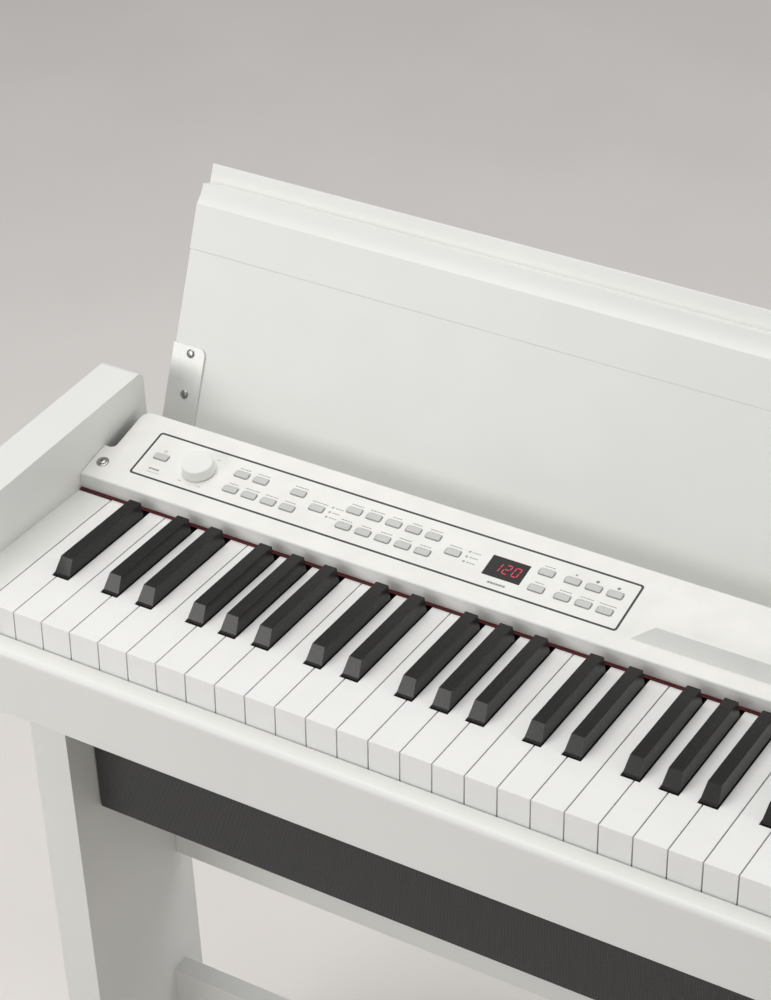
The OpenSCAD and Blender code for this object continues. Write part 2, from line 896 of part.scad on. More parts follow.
module pedal_box() {
    wall = 4;
    low = [pedal_box_x[0], pedal_box_y[0], pedal_box_z[0]];
    high = [pedal_box_x[1], pedal_box_y[1], pedal_box_z[1]];
    color(off_white) from_keys() difference() {
        block(low, high);
        block(low + [wall, wall, wall], high - [wall, wall, wall]);
        for (n = [-1:1]) {
            x = keys_w / 2 + n * pedal_pitch;
            block([x - pedal_w / 2 - 2.5, pedal_box_y[0] - 1, pedal_pivot[1] - 14],
                  [x + pedal_w / 2 + 2.5, pedal_box_y[0] + wall + 1, pedal_pivot[1] + 6]);
        }
        translate([keys_w / 2, 110, pedal_box_z[0] - 1]) cylinder(h = wall + 2, r = 5.02);
        bar_x(low[0] + 1, high[0] - 1, pedal_pivot[0], pedal_pivot[1], pedal_shaft_r + 0.02);
    }
}

module pedal_shaft() {
    color(metal) from_keys()
        bar_x(pedal_box_x[0] + 1, pedal_box_x[1] - 1, pedal_pivot[0], pedal_pivot[1], pedal_shaft_r);
}

module pedal_adjuster() {
    color([0.2, 0.2, 0.2]) from_keys() translate([keys_w / 2, 110, floor_z]) {
        cylinder(h = 5, r = 15);
        cylinder(h = 16, r = 5);
    }
}

module pedal(n) {
    tip = -6;
    boss_r = 8;
    x = keys_w / 2 + n * pedal_pitch;
    color([0.78, 0.66, 0.35]) from_keys() translate([x, 0, pedal_pivot[1]]) difference() {
        union() {
            translate([0, 0, -pedal_t / 2]) linear_extrude(pedal_t) {
                translate([-pedal_w / 2, tip]) square([pedal_w, pedal_pivot[0] - tip]);
                translate([0, tip]) circle(toe_r);
                translate([-toe_r, tip]) square([2 * toe_r, 26]);
            }
            bar_x(-pedal_w / 2, pedal_w / 2, pedal_pivot[0], 0, boss_r);
        }
        bar_x(-pedal_w, pedal_w, pedal_pivot[0], 0, pedal_shaft_r + 0.06);
    }
}

module left_pedal() { pedal(-1); }
module middle_pedal() { pedal(0); }
module right_pedal() { pedal(1); }

// --- what is drawn ---------------------------------------------------------

left_side_panel();
right_side_panel();
left_foot();
right_foot();
foot_glides();
keybed();
key_slip();
cheek_blocks();
control_panel();
panel_outline();
display_window();
led_lenses();
key_felt();
panel_screws();
panel_washers();
back_panel();
speaker_box();
speaker_grille();
speaker_drivers();
key_frame();
key_pivot_rod();
stop_felts();
sensor_strip();
panel_board();
volume_pot();
main_board();
jack_box();
cross_rail();
pedal_box();
pedal_shaft();
pedal_adjuster();
assembly_bolts();
lid_panel();
lid_front_rail();
lid_brackets();
lid_bracket_screws();
lid_hinge_pins();
volume_knob();
volume_shaft();
left_pedal();
middle_pedal();
right_pedal();
power_button();
function_buttons();
mode_buttons();
sound_buttons();
value_buttons();
transport_buttons();
keys_c();
keys_c_sharp();
keys_d();
keys_d_sharp();
keys_e();
keys_f();
keys_f_sharp();
keys_g();
keys_g_sharp();
keys_a();
keys_a_sharp();
keys_b();
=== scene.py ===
"""The looks of a slim white cabinet digital piano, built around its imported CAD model."""

import json
import math
import random

import bmesh
import bpy
from mathutils import Matrix, Vector
from mathutils.geometry import tessellate_polygon


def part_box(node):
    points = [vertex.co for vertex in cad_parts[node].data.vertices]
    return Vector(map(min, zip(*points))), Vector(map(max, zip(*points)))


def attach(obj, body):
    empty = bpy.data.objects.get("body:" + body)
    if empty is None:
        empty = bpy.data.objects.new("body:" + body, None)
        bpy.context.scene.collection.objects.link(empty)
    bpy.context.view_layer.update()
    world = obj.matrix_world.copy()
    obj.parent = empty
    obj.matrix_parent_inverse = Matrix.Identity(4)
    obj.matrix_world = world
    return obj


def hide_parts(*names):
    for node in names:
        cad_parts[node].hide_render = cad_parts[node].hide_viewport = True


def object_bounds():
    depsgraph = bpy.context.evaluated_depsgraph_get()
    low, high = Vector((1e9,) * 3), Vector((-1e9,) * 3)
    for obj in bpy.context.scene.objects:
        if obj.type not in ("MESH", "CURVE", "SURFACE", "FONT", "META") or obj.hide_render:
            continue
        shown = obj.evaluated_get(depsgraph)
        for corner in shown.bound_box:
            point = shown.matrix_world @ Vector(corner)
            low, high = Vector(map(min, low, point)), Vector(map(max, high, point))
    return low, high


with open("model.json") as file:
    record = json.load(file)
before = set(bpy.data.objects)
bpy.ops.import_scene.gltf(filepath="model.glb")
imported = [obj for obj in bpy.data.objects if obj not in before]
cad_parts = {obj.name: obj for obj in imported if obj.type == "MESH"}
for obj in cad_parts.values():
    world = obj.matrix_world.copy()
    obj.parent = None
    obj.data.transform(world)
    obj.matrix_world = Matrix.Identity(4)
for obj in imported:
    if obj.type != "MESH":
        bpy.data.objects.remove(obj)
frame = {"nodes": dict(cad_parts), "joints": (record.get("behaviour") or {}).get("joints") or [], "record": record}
cad_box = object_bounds()

MM = 0.001
JOINTS = {joint["name"]: joint for joint in frame["joints"]}
SLOT_OF = {part["node"]: part["material_slot"] for part in frame["record"]["subparts"]}

# --- the keyboard's own frame, in millimetres ------------------------------

PITCH = 23.5
KEYS_W = 52 * PITCH
PIVOT_LENGTH = 208
PIVOT_DROP = 8
KEY_TILT = math.radians(JOINTS["keys_c_press"]["range_deg"][1])
PIVOT = Vector(JOINTS["keys_c_press"]["pos_m"])
CORNER = Vector((
    -KEYS_W / 2 * MM,
    PIVOT.y - (PIVOT_LENGTH * math.cos(KEY_TILT) - PIVOT_DROP * math.sin(KEY_TILT)) * MM,
    PIVOT.z + (PIVOT_LENGTH * math.sin(KEY_TILT) + PIVOT_DROP * math.cos(KEY_TILT)) * MM,
))


def at_keys(x, y, z):
    """A point measured from the front left top corner of the keys, in millimetres."""
    return CORNER + Vector((x, y, z)) * MM


BOTH_ENDS = ((1, 0.0), (-1, KEYS_W))
SIDE_IN = (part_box("left_side_panel")[1].x - CORNER.x) / MM
RIGHT_IN = KEYS_W - SIDE_IN

# --- the sloping control panel ---------------------------------------------

SLOPE = math.asin(JOINTS["volume_turn"]["axis"][1] * -1)
PANEL_Y = 150.4
PANEL_Z = 5.9
PANEL_T = 3.0
PANEL_EDGE = 1.2
PANEL_LENGTH = 74.2
SKIRT_Z = -6.5
KNOB_AT = (52.7, 35.9)
KNOB_R = 12.6
KNOB_H = 9.0
SHAFT_HOLE_R = 3.8
ROW_HIGH = 43.9
ROW_MID = 35.8
ROW_LOW = 28.0
COLUMN = 16.0
BUTTON = (10.6, 5.0, 0.9)
BUTTON_PROUD = 0.7
CAP_DEPTH = 4.2
FLANGE_H = 0.8
HOLE_GROWTH = 0.8
# outer and inner growth over the button's size of the band of painted shade round each button's gap
GAP_SHADE_GROWTH = (1.9, 1.4)
DISPLAY = ((290.2, 26.4), (319.3, 45.2))
WINDOW_DEPTH = 1.4
OUTLINE = ((4.5, 14.5), (398.6, 59.2))
OUTLINE_W = 1.7
INLAY_DEPTH = 0.4
PRINT_H = 0.02
STOP_S = (12.7, 19.0, 27.3)
STOP_X = (409.7, 426.6, 412.2)
STOP_H = 12.0
SCREW_AT = (-19.2, 16.0)
LED_R = 0.9
LED_GAP_R = 0.1
LED_GAP = 4.8

GROUPS = {
    "power_button": [(19.1, 36.7)],
    "function_buttons": [(84.6 + n * COLUMN, ROW_HIGH) for n in (0, 1)]
    + [(84.5 + n * COLUMN, ROW_LOW) for n in range(4)],
    "mode_buttons": [(132.6, ROW_HIGH), (152.5, ROW_MID), (263.0, ROW_MID)],
    "sound_buttons": [(179.1 + n * COLUMN, s) for s in (ROW_HIGH, ROW_LOW) for n in range(5)],
    "value_buttons": [(331.8, s) for s in (ROW_HIGH, ROW_LOW)],
    "transport_buttons": [(351.6 + n * COLUMN, s) for s in (ROW_HIGH, ROW_LOW) for n in range(3)],
}
LEDS = [(x, ROW_MID + 0.4 + n * LED_GAP) for x in (163.0, 273.6) for n in (-1, 0, 1)]


def on_panel(x, s, h=0.0):
    """A point on the control panel: x, distance up its slope, height over it."""
    return at_keys(
        x,
        PANEL_Y + s * math.cos(SLOPE) - h * math.sin(SLOPE),
        PANEL_Z + s * math.sin(SLOPE) + h * math.cos(SLOPE),
    )


# --- the lid, open at rest -------------------------------------------------

LID_OPEN = math.radians(JOINTS["lid_fold"]["range_deg"][1])
HINGE = Vector(JOINTS["lid_fold"]["pos_m"])
LID_UNDER = 42.0
LID_TOP = 60.0
LID_BEHIND = 32.4
LID_SEAM = 158.6
COVE = (192.6, 207.6)
COVE_DEPTH = 4.5
LIP_T = 4.0
LID_AHEAD = 222.0
LID_EDGE_R = 2.0


def on_lid(x, ahead, height):
    """A point on the lid: x, distance ahead of the hinge and height over it when the lid is closed."""
    turn = math.pi - LID_OPEN
    y = ahead * math.cos(turn) + height * math.sin(turn)
    z = ahead * math.sin(turn) - height * math.cos(turn)
    return Vector((CORNER.x + x * MM, HINGE.y + y * MM, HINGE.z + z * MM))


# --- materials -------------------------------------------------------------


class Surface:
    """A principled material with object-space texture nodes added to it step by step."""

    def __init__(self, name, color, roughness, **sockets):
        self.material = bpy.data.materials.new(name)
        self.material.use_nodes = True
        self.tree = self.material.node_tree
        self.shader = self.tree.nodes["Principled BSDF"]
        self.color = color
        self.shader.inputs["Base Color"].default_value = (*color, 1)
        self.shader.inputs["Roughness"].default_value = roughness
        for key, value in sockets.items():
            self.shader.inputs[key.replace("_", " ")].default_value = value
        self.coords = self.tree.nodes.new("ShaderNodeTexCoord").outputs["Object"]
        self.bump_height = None

    def node(self, kind, **values):
        made = self.tree.nodes.new(kind)
        for key, value in values.items():
            if key in made.inputs:
                made.inputs[key].default_value = value
            else:
                setattr(made, key, value)
        return made

    def scaled(self, x, y, z):
        mapping = self.node("ShaderNodeMapping")
        mapping.inputs["Scale"].default_value = (x, y, z)
        self.tree.links.new(self.coords, mapping.inputs["Vector"])
        return mapping.outputs["Vector"]

    def noise(self, scale, detail=3.0, stretch=(1, 1, 1)):
        made = self.node("ShaderNodeTexNoise", Scale=scale, Detail=detail)
        self.tree.links.new(self.scaled(*stretch), made.inputs["Vector"])
        return made.outputs["Fac"]

    def tint(self, factor, low, high, span=(0.35, 0.65)):
        """The base colour runs from low to high, in parts of itself, with the factor."""
        ramp = self.node("ShaderNodeValToRGB")
        ramp.color_ramp.elements[0].position = span[0]
        ramp.color_ramp.elements[1].position = span[1]
        ramp.color_ramp.elements[0].color = (*[c * low for c in self.color], 1)
        ramp.color_ramp.elements[1].color = (*[c * high for c in self.color], 1)
        self.tree.links.new(factor, ramp.inputs["Fac"])
        self.tree.links.new(ramp.outputs["Color"], self.shader.inputs["Base Color"])
        return self

    def vary_roughness(self, factor, low, high):
        spread = self.node("ShaderNodeMapRange")
        spread.inputs["To Min"].default_value = low
        spread.inputs["To Max"].default_value = high
        self.tree.links.new(factor, spread.inputs["Value"])
        self.tree.links.new(spread.outputs["Result"], self.shader.inputs["Roughness"])
        return self

    def bump(self, factor, strength, distance):
        made = self.node("ShaderNodeBump", Strength=strength, Distance=distance)
        self.tree.links.new(factor, made.inputs["Height"])
        if self.bump_height is not None:
            self.tree.links.new(self.bump_height, made.inputs["Normal"])
        self.bump_height = made.outputs["Normal"]
        self.tree.links.new(self.bump_height, self.shader.inputs["Normal"])
        return self


def lacquer(name, color, roughness):
    """Sprayed satin lacquer: faint mottling and a fine orange peel."""
    made = Surface(name, color, roughness, Specular_IOR_Level=0.45)
    made.tint(made.noise(6, 4), 0.985, 1.01)
    made.vary_roughness(made.noise(35, 4), roughness - 0.05, roughness + 0.07)
    made.bump(made.noise(900, 2), 0.12, 0.0001)
    return made.bump(made.noise(60, 3), 0.05, 0.0004).material


def moulded(name, color, roughness, grain=2600, depth=0.00006, **sockets):
    """Moulded plastic with a fine spark-eroded grain."""
    made = Surface(name, color, roughness, **sockets)
    made.tint(made.noise(40, 3), 0.97, 1.02)
    made.vary_roughness(made.noise(120, 3), roughness - 0.04, roughness + 0.05)
    return made.bump(made.noise(grain, 2), 0.35, depth).material


def white_key_plastic():
    """Glossy key plastic that takes a little light in, with faint finger wear."""
    made = Surface("white_key", (0.88, 0.878, 0.862), 0.3, Subsurface_Weight=0.08, Specular_IOR_Level=0.5)
    made.shader.inputs["Subsurface Radius"].default_value = (0.002, 0.0018, 0.0015)
    made.shader.inputs["Subsurface Scale"].default_value = 1.0
    made.tint(made.noise(25, 3), 0.985, 1.01)
    made.vary_roughness(made.noise(45, 5, (1, 0.4, 1)), 0.24, 0.38)
    return made.bump(made.noise(700, 2), 0.05, 0.00005).material


def black_key_plastic():
    """Matt black key with the long fine grain of a wood-like moulding."""
    made = Surface("black_key", (0.0085, 0.0078, 0.006), 0.27, Specular_IOR_Level=0.38)
    made.tint(made.noise(90, 3, (5, 0.5, 5)), 0.9, 1.15)
    made.vary_roughness(made.noise(90, 4, (5, 0.4, 5)), 0.24, 0.30)
    return made.bump(made.noise(700, 3, (6, 0.35, 6)), 0.06, 0.00006).material


def felt(name, color):
    """Pressed wool felt: short fibres in every direction."""
    made = Surface(name, color, 0.95, Sheen_Weight=0.1, Sheen_Roughness=0.5)
    made.tint(made.noise(900, 5, (1, 1, 1.6)), 0.55, 1.5)
    return made.bump(made.noise(2200, 6), 0.9, 0.0005).material


def metal(name, color, roughness, stretch=(1, 30, 1)):
    """Plated or brushed metal with fine drawn lines."""
    made = Surface(name, color, roughness, Metallic=1.0)
    made.tint(made.noise(80, 3), 0.94, 1.04)
    made.vary_roughness(made.noise(160, 4, stretch), roughness - 0.06, roughness + 0.1)
    return made.bump(made.noise(400, 3, stretch), 0.15, 0.00004).material


def pearl_paint():
    """Fine metallic paint on the lid's brackets."""
    made = Surface("bracket_paint", (0.74, 0.74, 0.72), 0.38, Metallic=0.25, Specular_IOR_Level=0.5)
    made.tint(made.noise(2500, 2), 0.9, 1.08)
    return made.bump(made.noise(1800, 2), 0.15, 0.00005).material


def fibreboard():
    """Raw board: pressed fibres, a little darker in streaks."""
    made = Surface("raw_board", (0.52, 0.41, 0.27), 0.85)
    made.tint(made.noise(500, 6, (0.25, 1, 1)), 0.75, 1.2)
    return made.bump(made.noise(900, 5, (0.3, 1, 1)), 0.5, 0.0003).material


def black_foil():
    """Chipboard covered in black foil with a pore pattern."""
    made = Surface("black_board", (0.02, 0.02, 0.02), 0.6)
    made.tint(made.noise(200, 4, (0.15, 1, 1)), 0.7, 1.6)
    return made.bump(made.noise(500, 5, (0.12, 1, 1)), 0.35, 0.0002).material


def speaker_cloth():
    """Open plain weave of black yarn."""
    made = Surface("grille_cloth", (0.014, 0.014, 0.0145), 0.85, Sheen_Weight=0.3)
    for stretch in ((1, 0, 0), (0, 0, 1)):
        yarn = made.node("ShaderNodeTexWave", Scale=260, Distortion=0.6)
        yarn.inputs["Detail"].default_value = 1.0
        yarn.bands_direction = "X" if stretch[0] else "Z"
        made.tree.links.new(made.coords, yarn.inputs["Vector"])
        made.bump(yarn.outputs["Fac"], 0.7, 0.0005)
    return made.tint(made.noise(1200, 3), 0.6, 1.6).material


def solder_mask():
    """Green circuit board lacquer over faint copper tracks."""
    made = Surface("circuit_board", (0.03, 0.16, 0.07), 0.35)
    tracks = made.node("ShaderNodeTexBrick", Scale=60)
    made.tree.links.new(made.coords, tracks.inputs["Vector"])
    made.tint(tracks.outputs["Fac"], 0.8, 1.5, (0.0, 1.0))
    return made.bump(tracks.outputs["Fac"], 0.3, 0.0001).material


def smoked_window():
    """Smoked acrylic over the display, nearly black, with polish haze."""
    made = Surface("display_glass", (0.010, 0.006, 0.007), 0.3, Specular_IOR_Level=0.3)
    made.tint(made.noise(90, 3), 0.8, 1.3)
    return made.vary_roughness(made.noise(300, 3), 0.26, 0.36).material


def lit_segments():
    """Red light-emitting segments, a little uneven."""
    made = Surface("lit_segments", (0.35, 0.02, 0.04), 0.5)
    made.shader.inputs["Emission Color"].default_value = (0.75, 0.05, 0.10, 1)
    made.shader.inputs["Emission Strength"].default_value = 0.55
    return made.tint(made.noise(700, 2), 0.85, 1.15).material


def ink(name, color):
    """Screen-printed ink; the label ink also paints the shade of the gaps round the buttons."""
    made = Surface(name, color, 0.6)
    made.tint(made.noise(900, 3), 0.9, 1.12)
    return made.bump(made.noise(1500, 2), 0.15, 0.00003).material


def clear_lens():
    """An unlit milky lens."""
    made = Surface("led_plastic", (0.42, 0.40, 0.38), 0.25, Coat_Weight=0.5)
    return made.tint(made.noise(2000, 2), 0.85, 1.15).material


MATERIALS = {
    "white_lacquer": lacquer("white_lacquer", (0.80, 0.80, 0.775), 0.4),
    "panel_plastic": moulded("panel_plastic", (0.815, 0.812, 0.785), 0.42, Specular_IOR_Level=0.45),
    "white_key": white_key_plastic(),
    "black_key": black_key_plastic(),
    "knob_plastic": moulded("knob_plastic", (0.80, 0.80, 0.775), 0.4),
    "button_plastic": moulded("button_plastic", (0.56, 0.56, 0.54), 0.5),
    "grey_print": ink("grey_print", (0.045, 0.045, 0.047)),
    "display_glass": smoked_window(),
    "led_plastic": clear_lens(),
    "red_felt": felt("red_felt", (0.09, 0.004, 0.006)),
    "grey_felt": felt("grey_felt", (0.30, 0.29, 0.26)),
    "steel": metal("steel", (0.37, 0.365, 0.355), 0.24),
    "bracket_paint": pearl_paint(),
    "raw_board": fibreboard(),
    "black_board": black_foil(),
    "grille_cloth": speaker_cloth(),
    "driver_plastic": moulded("driver_plastic", (0.05, 0.05, 0.052), 0.55, 900, 0.0002),
    "black_plastic": moulded("black_plastic", (0.028, 0.028, 0.028), 0.5, 1500, 0.00012),
    "circuit_board": solder_mask(),
    "pedal_metal": metal("pedal_metal", (0.72, 0.53, 0.25), 0.2, (30, 1, 1)),
}
# dark ink for the printed labels, and for the painted shade in the gaps round the buttons
LABEL_AND_GAP_SHADE_INK = ink("label_ink", (0.27, 0.27, 0.27))
LIT = lit_segments()

# --- mesh helpers ----------------------------------------------------------

SHARP_ANGLE = 32
SAME_POINT = 1e-7
WELD_WITHIN = 1e-6
FLAT_WITHIN = 0.3


def weigh_normals(obj):
    """Lets the large faces set the shading, so that narrow roundings look soft and flats stay flat."""
    shade = obj.modifiers.new("shade", "WEIGHTED_NORMAL")
    shade.keep_sharp = True
    shade.weight = 80


def add_piece(name, mesh, material, body, nodes=(), slot=None, smooth=True):
    """Puts a finished mesh into the scene as a piece that rides on a body."""
    made = bpy.data.objects.new(name, mesh)
    bpy.context.scene.collection.objects.link(made)
    mesh.materials.append(material)
    if smooth:
        mesh.shade_smooth()
        mesh.set_sharp_from_angle(angle=math.radians(SHARP_ANGLE))
        weigh_normals(made)
    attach(made, body)
    if nodes:
        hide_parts(*nodes)
    return made


def mesh_from(name, vertices, faces):
    """A mesh with its doubled points joined and its faces all turned outwards."""
    mesh = bpy.data.meshes.new(name)
    mesh.from_pydata([tuple(v) for v in vertices], [], faces)
    tidy_up = bmesh.new()
    tidy_up.from_mesh(mesh)
    bmesh.ops.remove_doubles(tidy_up, verts=tidy_up.verts, dist=SAME_POINT)
    bmesh.ops.recalc_face_normals(tidy_up, faces=tidy_up.faces)
    tidy_up.to_mesh(mesh)
    tidy_up.free()
    return mesh


def soften(obj, width, segments=3, angle=30):
    """Rounds an object's edges by a width in millimetres."""
    if "shade" in obj.modifiers:
        obj.modifiers.remove(obj.modifiers["shade"])
    weld = obj.modifiers.new("weld", "WELD")
    weld.merge_threshold = WELD_WITHIN
    flat = obj.modifiers.new("flat", "DECIMATE")
    flat.decimate_type = "DISSOLVE"
    flat.angle_limit = math.radians(FLAT_WITHIN)
    round_over = obj.modifiers.new("round", "BEVEL")
    round_over.width = width * MM
    round_over.segments = segments
    round_over.limit_method = "ANGLE"
    round_over.angle_limit = math.radians(angle)
    round_over.use_clamp_overlap = True
    round_over.miter_outer = "MITER_ARC"
    weigh_normals(obj)


def ring(w, h, r, steps=6):
    """The outline of a rectangle with round corners about its own middle."""
    points = []
    for cx, cy, start in ((1, 1, 0), (-1, 1, 90), (-1, -1, 180), (1, -1, 270)):
        for n in range(steps + 1):
            a = math.radians(start + 90 * n / steps)
            points.append((cx * (w / 2 - r) + r * math.cos(a), cy * (h / 2 - r) + r * math.sin(a)))
    return points


def circle(r, steps=32):
    """Points round a circle about its own middle."""
    turns = [2 * math.pi * n / steps for n in range(steps)]
    return [(r * math.cos(a), r * math.sin(a)) for a in turns]


def loft(loops, close_low=True, close_high=True):
    """Vertices and faces of a skin through loops of equal length."""
    count = len(loops[0])
    vertices = [point for loop in loops for point in loop]
    faces = []
    for level in range(len(loops) - 1):
        for n in range(count):
            a = level * count + n
            b = level * count + (n + 1) % count
            faces.append((a, b, b + count, a + count))
    if close_low:
        faces.append(tuple(range(count)))
    if close_high:
        faces.append(tuple(range(len(vertices) - count, len(vertices))))
    return vertices, faces


def join(parts):
    """One list of vertices and faces from several."""
    vertices, faces = [], []
    for some, more in parts:
        base = len(vertices)
        vertices += some
        faces += [tuple(n + base for n in face) for face in more]
    return vertices, faces


def arc(cy, cz, r, start, end, steps=12):
    """Points of an arc in a profile, angles in degrees."""
    turns = [math.radians(start + (end - start) * n / steps) for n in range(steps + 1)]
    return [(cy + r * math.cos(a), cz + r * math.sin(a)) for a in turns]


def bar(name, profile, x0, x1, place, edge, **kwargs):
    """A profile drawn out along X, with its end edges rounded off."""
    loops = [[place(x, *point) for point in profile] for x in (x0, x1)]
    made = add_piece(name, mesh_from(name, *loft(loops)), **kwargs)
    soften(made, edge, 4, 40)
    return made


# --- cabinet ---------------------------------------------------------------


def build_key_slip():
    """The board in front of the keys, with its upper front edge rounded."""
    front, back, top, bottom, nose = -18.0, -2.0, -22.0, -78.0, 5.0
    profile = [(back, bottom), (back, top - 0.6), (back - 0.6, top)]
    profile += arc(front + nose, top - nose, nose, 90, 180, 14)
    profile += arc(front + 1.2, bottom + 1.2, 1.2, 180, 270, 4)
    bar("key_slip_board", profile, SIDE_IN, RIGHT_IN, at_keys, 0.3, material=MATERIALS["white_lacquer"],
        body="cabinet", nodes=["key_slip"], slot="white_lacquer")


def build_lid():
    """The lid's board, and its front rail with a shallow cove, a step and a thin lip."""
    white = {"material": MATERIALS["white_lacquer"], "body": "lid", "slot": "white_lacquer"}
    edge = LID_EDGE_R
    left, right = SIDE_IN + 1.7, RIGHT_IN - 1.7
    board = [(LID_SEAM, LID_UNDER), (LID_SEAM, LID_TOP)]
    board += arc(-LID_BEHIND + edge, LID_TOP - edge, edge, 90, 180, 6)
    board += arc(-LID_BEHIND + edge, LID_UNDER + edge, edge, 180, 270, 6)
    bar("lid_board", board, left, right, on_lid, 0.5, nodes=["lid_panel"], **white)
    lip_under = LID_TOP - LIP_T
    start, end = COVE
    run = end - start
    cove_r = (run ** 2 + COVE_DEPTH ** 2) / (2 * COVE_DEPTH)
    steep = math.degrees(math.asin(run / cove_r))
    rail = [(LID_SEAM, LID_UNDER)]
    rail += arc(end, LID_UNDER + COVE_DEPTH - cove_r, cove_r, 90 + steep, 90, 16)
    rail += [(end, lip_under)]
    rail += arc(LID_AHEAD - 0.8, lip_under + 0.8, 0.8, 270, 360, 5)
    rail += arc(LID_AHEAD - edge, LID_TOP - edge, edge, 0, 90, 6)
    rail += [(LID_SEAM, LID_TOP)]
    bar("lid_rail", rail, left - 0.7, right + 0.7, on_lid, 0.4, nodes=["lid_front_rail"], **white)


# --- control panel ---------------------------------------------------------

NO_LENGTH = 1e-9
LEAST_SPREAD = 0.35


def end_outline():
    """The panel's outline from its front left corner to its back left corner, with the hinge notch."""
    notch_x, notch_start, notch_r, corner_r = -20.0, 32.0, 4.0, 8.0
    points = [(SIDE_IN, 0.0), (SIDE_IN, notch_start)]
    inner = arc(notch_x - notch_r, notch_start + notch_r, notch_r, 270, 360, 8)
    outer = arc(notch_x + corner_r, PANEL_LENGTH - corner_r, corner_r, 180, 90, 10)
    return points + inner + outer


def panel_outline_points():
    """The whole outline: the left end, and the right end as its mirror image."""
    left = end_outline()
    right = [(KEYS_W - x, s) for x, s in reversed(left)]
    return left + right


def inset(points, by):
    """A clockwise outline moved inwards by a small distance, along its corners' bisectors."""
    moved = []
    count = len(points)
    for n, point in enumerate(points):
        here = Vector(point)
        one = here - Vector(points[n - 1])
        two = Vector(points[(n + 1) % count]) - here
        if one.length < NO_LENGTH:
            one = two
        if two.length < NO_LENGTH:
            two = one
        one.normalize()
        two.normalize()
        normal = Vector((one.y, -one.x))
        bisector = (normal + Vector((two.y, -two.x))).normalized()
        reach = by / max(LEAST_SPREAD, bisector.dot(normal))
        moved.append(tuple(here + bisector * reach))
    return moved


def shift(points, x, s):
    """An outline moved on the panel."""
    return [(px + x, ps + s) for px, ps in points]


def rect_points(low, high):
    """The four corners of a rectangle between its lowest and its highest corner."""
    return [(low[0], low[1]), (high[0], low[1]), (high[0], high[1]), (low[0], high[1])]


def fill(outer, holes, level, place):
    """A flat face with holes, as triangles."""
    loops = [[Vector((*p, 0)) for p in loop] for loop in [outer, *holes]]
    flat = [p for loop in loops for p in loop]
    return [place(p.x, p.y, level) for p in flat], [tuple(t) for t in tessellate_polygon(loops)]


def plate_point(x, s, h):
    """As on_panel, with the plate's front edge sheared so that its front face is upright."""
    shear_start, shear_run = 6.0, 3.0
    weight = min(1.0, max(0.0, (shear_start - s) / shear_run))
    point = on_panel(x, s, h)
    point.y += weight * h * math.sin(SLOPE) * MM
    return point


def wall(outline, levels, place):
    """The rounded wall of an edge: (inset, level) pairs from the top face down."""
    loops = [[place(x, s, level) for x, s in inset(outline, by)] for by, level in levels]
    return loft(loops, close_low=False, close_high=False)


def outline_loops():
    """The outer and the inner edge of the dark line round the controls."""
    (x0, s0), (x1, s1) = OUTLINE
    mid = ((x0 + x1) / 2, (s0 + s1) / 2)
    inner = (x1 - x0 - 2 * OUTLINE_W, s1 - s0 - 2 * OUTLINE_W)
    return shift(ring(x1 - x0, s1 - s0, 2.6, 8), *mid), shift(ring(*inner, 1.4, 8), *mid)


def band(outer, inner, low, high):
    """A flat closed band between two loops on the panel."""
    return tube([(outer, low), (outer, high), (inner, high), (inner, low), (outer, low)])


def build_outline():
    """The dark line round the controls, inlaid flush with the panel."""
    inlay = band(*outline_loops(), -INLAY_DEPTH, 0.0)
    add_piece("outline_inlay", mesh_from("outline_inlay", *inlay), MATERIALS["grey_print"], "cabinet",
              ["panel_outline"], "grey_print", smooth=False)


def tube(stack, close_high=False):
    """A skin through (loop, level) pairs on the panel, open at both ends unless its high end is closed."""
    return loft([[on_panel(*p, level) for p in loop] for loop, level in stack], False, close_high)


def solid(stack):
    """A closed body through (loop, level) pairs on the panel."""
    return loft([[on_panel(*p, level) for p in loop] for loop, level in stack])


def button_openings():
    """Every button's opening, with a soft edge, from the panel's face down."""
    w, h, r = BUTTON
    soft = [(0.3, 0.0), (0.18, -0.04), (0.07, -0.13), (0.0, -0.3), (0.0, -PANEL_T)]
    shapes = [(ring(w + HOLE_GROWTH + 2 * by, h + HOLE_GROWTH + 2 * by, r + HOLE_GROWTH / 2 + by, 5), level)
              for by, level in soft]
    places = [at for group in GROUPS.values() for at in group]
    return [[(shift(shape, *at), level) for shape, level in shapes] for at in places]


def round_openings():
    """The lamps' holes and the hole for the knob's shaft."""
    circles = [shift(circle(LED_R + LED_GAP_R, 20), *at) for at in LEDS]
    circles.append(shift(circle(SHAFT_HOLE_R), *KNOB_AT))
    return [[(loop, 0), (loop, -PANEL_T)] for loop in circles]


def window_opening():
    """The display's seat, with a small bevel at its rim."""
    bevel = 0.2
    low, high = DISPLAY
    seat = rect_points(low, high)
    rim = rect_points((low[0] - bevel, low[1] - bevel), (high[0] + bevel, high[1] + bevel))
    return [(rim, 0), (seat, -bevel), (seat, -WINDOW_DEPTH)]


def skirt_profile():
    """The upright front of the panel, with its lower edge rounded."""
    top = PANEL_Z - PANEL_T * math.cos(SLOPE)
    back = PANEL_Y + PANEL_T
    lower_edge = [(PANEL_Y, SKIRT_Z + 0.5), (PANEL_Y + 0.15, SKIRT_Z + 0.15), (PANEL_Y + 0.5, SKIRT_Z)]
    return [(PANEL_Y, top)] + lower_edge + [(back, SKIRT_Z), (back, top + 0.2)]


